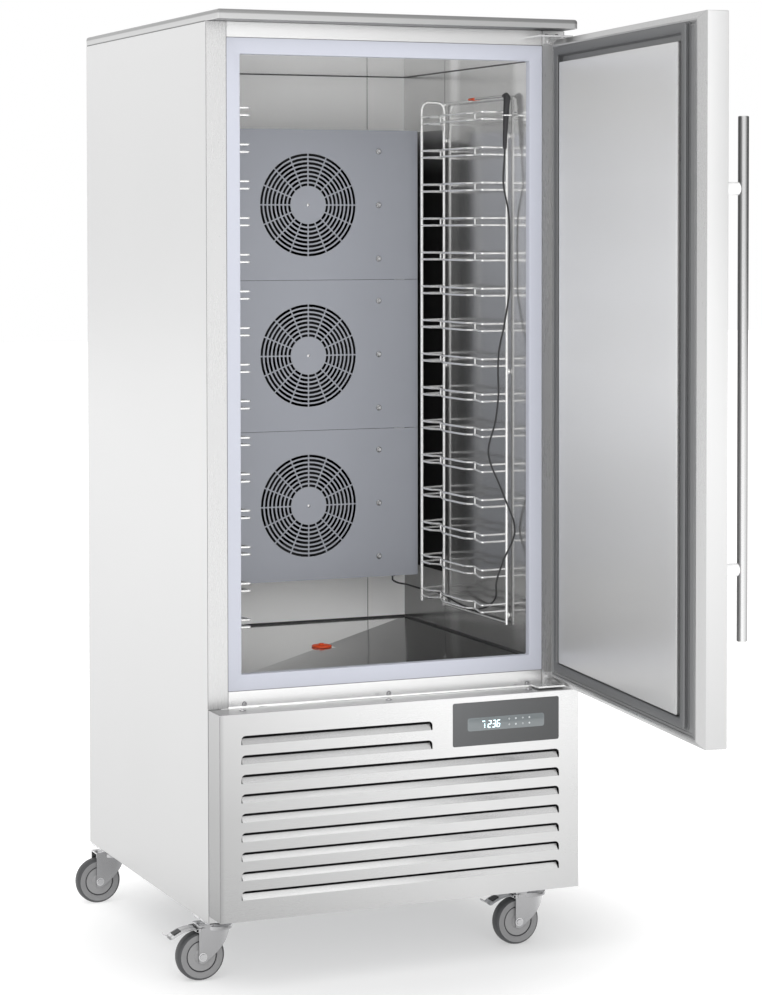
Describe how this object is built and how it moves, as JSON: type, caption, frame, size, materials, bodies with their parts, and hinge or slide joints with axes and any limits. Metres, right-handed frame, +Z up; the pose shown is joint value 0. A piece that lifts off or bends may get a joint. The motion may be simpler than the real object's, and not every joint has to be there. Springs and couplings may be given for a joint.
{
  "type": "blast chiller",
  "caption": "Upright insulated blast chiller on casters, with a hinged door, fan evaporator behind grilles, wire tray racks, a core probe and a louvred cooling unit.",
  "frame": {"origin": "on the floor, under the middle of the bounding box of the whole object with its door open by 83 degrees", "axes": "+X to the right of a person who faces the door, +Y from the door to the back panel, +Z up"},
  "size_m": [0.876, 1.5884, 1.937],
  "materials": {
    "stainless": "fine vertical brushing",
    "liner_steel": "soft satin sheet",
    "polished_steel": "bright polished",
    "wire": "bright stainless wire",
    "zinc": "zinc-plated pressed steel",
    "galvanised": "galvanised sheet",
    "frame_plastic": "pale lavender grey, satin",
    "dark_panel": "dark glassy touch panel",
    "display": "dark display window",
    "foam": "rigid foam",
    "cover_steel": "blue-grey satin sheet",
    "aluminium": "mill finish",
    "black_rubber": "matt",
    "cable_rubber": "satin cable sheath",
    "black_plastic": "matt",
    "black_paint": "semi-gloss black",
    "red_rubber": "orange red",
    "grey_plastic": "satin mid grey",
    "copper": "drawn copper tube",
    "gasket": "dark grey magnetic gasket",
    "wheel_rubber": "grey non-marking"
  },
  "bodies": {
    "root": {"side_panel_left": "stainless", "side_panel_right": "stainless", "rear_panel": "stainless", "top_cover": "stainless", "front_surround": "stainless", "base_frame": "galvanised", "insulation_foam": "foam", "inner_liner": "liner_steel", "door_frame_trim": "frame_plastic", "front_fascia": "stainless", "control_panel": "dark_panel", "display_window": "display", "hinge_bracket_top": "stainless", "hinge_bracket_bottom": "stainless", "evaporator_frame": "galvanised", "evaporator_coil": "aluminium", "rack_left": "wire", "rack_right": "wire", "probe_handle": "black_rubber", "probe_needle": "polished_steel", "probe_cable": "cable_rubber", "cable_gland": "black_plastic", "drain_pipe": "grey_plastic", "compressor": "black_paint", "condenser_coil": "aluminium", "condenser_fan_motor": "galvanised", "liquid_receiver": "black_paint", "refrigerant_pipe": "copper", "electrical_box": "galvanised", "fan_cover_1": "cover_steel", "fan_motor_1": "black_paint", "fan_cover_2": "cover_steel", "fan_motor_2": "black_paint", "fan_cover_3": "cover_steel", "fan_motor_3": "black_paint", "caster_plate_front_left": "zinc", "caster_plate_front_right": "zinc", "caster_plate_rear_left": "zinc", "caster_plate_rear_right": "zinc"},
    "door": {"door_outer_panel": "stainless", "door_foam": "foam", "door_edge_profile": "grey_plastic", "door_inner_panel": "polished_steel", "door_gasket": "gasket", "door_handle": "polished_steel"},
    "condenser_fan": {"condenser_fan_rotor": "aluminium"},
    "plug": {"drain_plug": "red_rubber"},
    "fan_1": {"fan_rotor_1": "black_plastic"},
    "fan_2": {"fan_rotor_2": "black_plastic"},
    "fan_3": {"fan_rotor_3": "black_plastic"},
    "swivel_front_left": {"caster_fork_front_left": "zinc"},
    "wheel_front_left": {"caster_wheel_front_left": "wheel_rubber"},
    "swivel_front_right": {"caster_fork_front_right": "zinc"},
    "wheel_front_right": {"caster_wheel_front_right": "wheel_rubber"},
    "swivel_rear_left": {"caster_fork_rear_left": "zinc"},
    "wheel_rear_left": {"caster_wheel_rear_left": "wheel_rubber"},
    "swivel_rear_right": {"caster_fork_rear_right": "zinc"},
    "wheel_rear_right": {"caster_wheel_rear_right": "wheel_rubber"},
    "pedal_front_left": {"brake_pedal_front_left": "zinc"},
    "pedal_front_right": {"brake_pedal_front_right": "zinc"}
  },
  "joints": [
    {"name": "door_hinge", "type": "hinge", "parent": "root", "child": "door", "pos_m": [0.40203, -0.02978, 0.565], "axis": [0, 0, 1], "range_deg": [-83, 22]},
    {"name": "fan_1_spin", "type": "hinge", "parent": "root", "child": "fan_1", "pos_m": [0.02703, 0.46922, 1.56075], "axis": [0, 1, 0], "continuous": true},
    {"name": "fan_2_spin", "type": "hinge", "parent": "root", "child": "fan_2", "pos_m": [0.02703, 0.46922, 1.23225], "axis": [0, 1, 0], "continuous": true},
    {"name": "fan_3_spin", "type": "hinge", "parent": "root", "child": "fan_3", "pos_m": [0.02703, 0.46922, 0.90375], "axis": [0, 1, 0], "continuous": true},
    {"name": "condenser_fan_spin", "type": "hinge", "parent": "root", "child": "condenser_fan", "pos_m": [-0.09797, 0.13222, 0.2953], "axis": [0, 1, 0], "continuous": true},
    {"name": "drain_plug_lift", "type": "slide", "parent": "root", "child": "plug", "axis": [0, 0, 1], "range_m": [0, 0.06]},
    {"name": "swivel_front_left_turn", "type": "hinge", "parent": "root", "child": "swivel_front_left", "pos_m": [-0.32597, 0.07022, 0.128], "axis": [0, 0, 1], "continuous": true},
    {"name": "wheel_front_left_roll", "type": "hinge", "parent": "swivel_front_left", "child": "wheel_front_left", "pos_m": [-0.36397, 0.07022, 0.05], "axis": [0, 1, 0], "continuous": true},
    {"name": "pedal_front_left_release", "type": "hinge", "parent": "swivel_front_left", "child": "pedal_front_left", "pos_m": [-0.36397, 0.07022, 0.105], "axis": [0, 1, 0], "range_deg": [0, 14]},
    {"name": "swivel_front_right_turn", "type": "hinge", "parent": "root", "child": "swivel_front_right", "pos_m": [0.38003, 0.07022, 0.128], "axis": [0, 0, 1], "continuous": true},
    {"name": "wheel_front_right_roll", "type": "hinge", "parent": "swivel_front_right", "child": "wheel_front_right", "pos_m": [0.34203, 0.07022, 0.05], "axis": [0, 1, 0], "continuous": true},
    {"name": "pedal_front_right_release", "type": "hinge", "parent": "swivel_front_right", "child": "pedal_front_right", "pos_m": [0.34203, 0.07022, 0.105], "axis": [0, 1, 0], "range_deg": [0, 14]},
    {"name": "swivel_rear_left_turn", "type": "hinge", "parent": "root", "child": "swivel_rear_left", "pos_m": [-0.32597, 0.75222, 0.128], "axis": [0, 0, 1], "continuous": true},
    {"name": "wheel_rear_left_roll", "type": "hinge", "parent": "swivel_rear_left", "child": "wheel_rear_left", "pos_m": [-0.36397, 0.75222, 0.05], "axis": [0, 1, 0], "continuous": true},
    {"name": "swivel_rear_right_turn", "type": "hinge", "parent": "root", "child": "swivel_rear_right", "pos_m": [0.38003, 0.75222, 0.128], "axis": [0, 0, 1], "continuous": true},
    {"name": "wheel_rear_right_roll", "type": "hinge", "parent": "swivel_rear_right", "child": "wheel_rear_right", "pos_m": [0.34203, 0.75222, 0.05], "axis": [0, 1, 0], "continuous": true}
  ]
}
